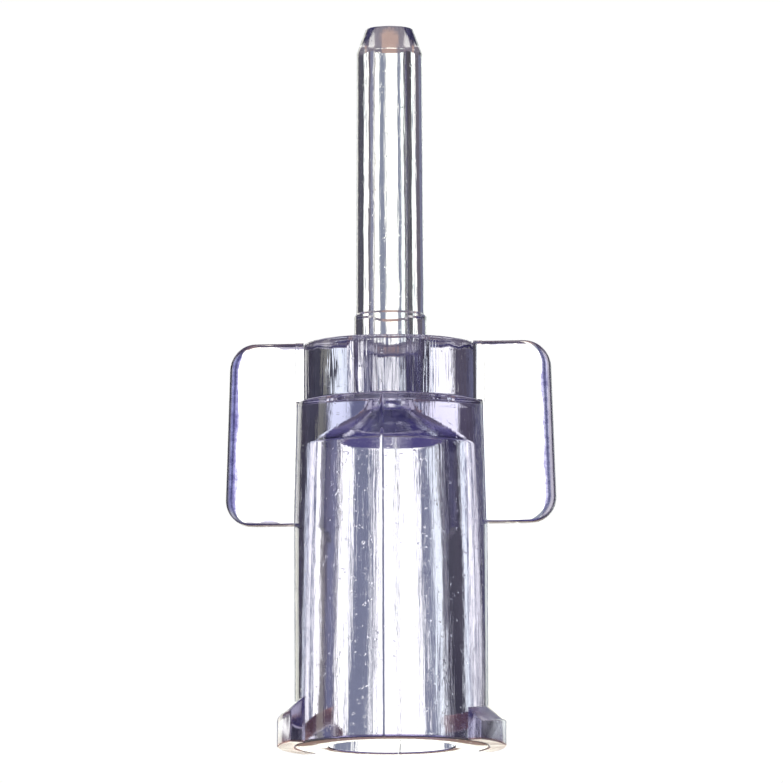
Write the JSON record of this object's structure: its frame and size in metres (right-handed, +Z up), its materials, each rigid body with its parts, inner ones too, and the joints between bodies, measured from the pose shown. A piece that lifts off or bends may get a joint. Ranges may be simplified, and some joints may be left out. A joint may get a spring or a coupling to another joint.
{
  "type": "winged luer cannula",
  "caption": "Clear plastic blunt cannula on a winged female luer-lock hub, pushed onto a male luer to direct suction, rinse or fluid.",
  "frame": {"origin": "centre of the socket's mouth face", "axes": "+Z up the fluid path from the mouth to the cannula's tip, X along the two wings, +Y away from the front"},
  "size_m": [0.0114, 0.0066, 0.0247],
  "materials": {
    "clear_hub": "gloss",
    "clear_tube": "gloss",
    "cured_adhesive": "satin"
  },
  "bodies": {
    "root": {"cannula_tube": "clear_tube", "hub_collar": "clear_hub", "bond_ring": "cured_adhesive", "hub_barrel": "clear_hub", "wing_left": "clear_hub", "wing_right": "clear_hub", "lock_lug_left": "clear_hub", "lock_lug_right": "clear_hub"}
  },
  "joints": []
}
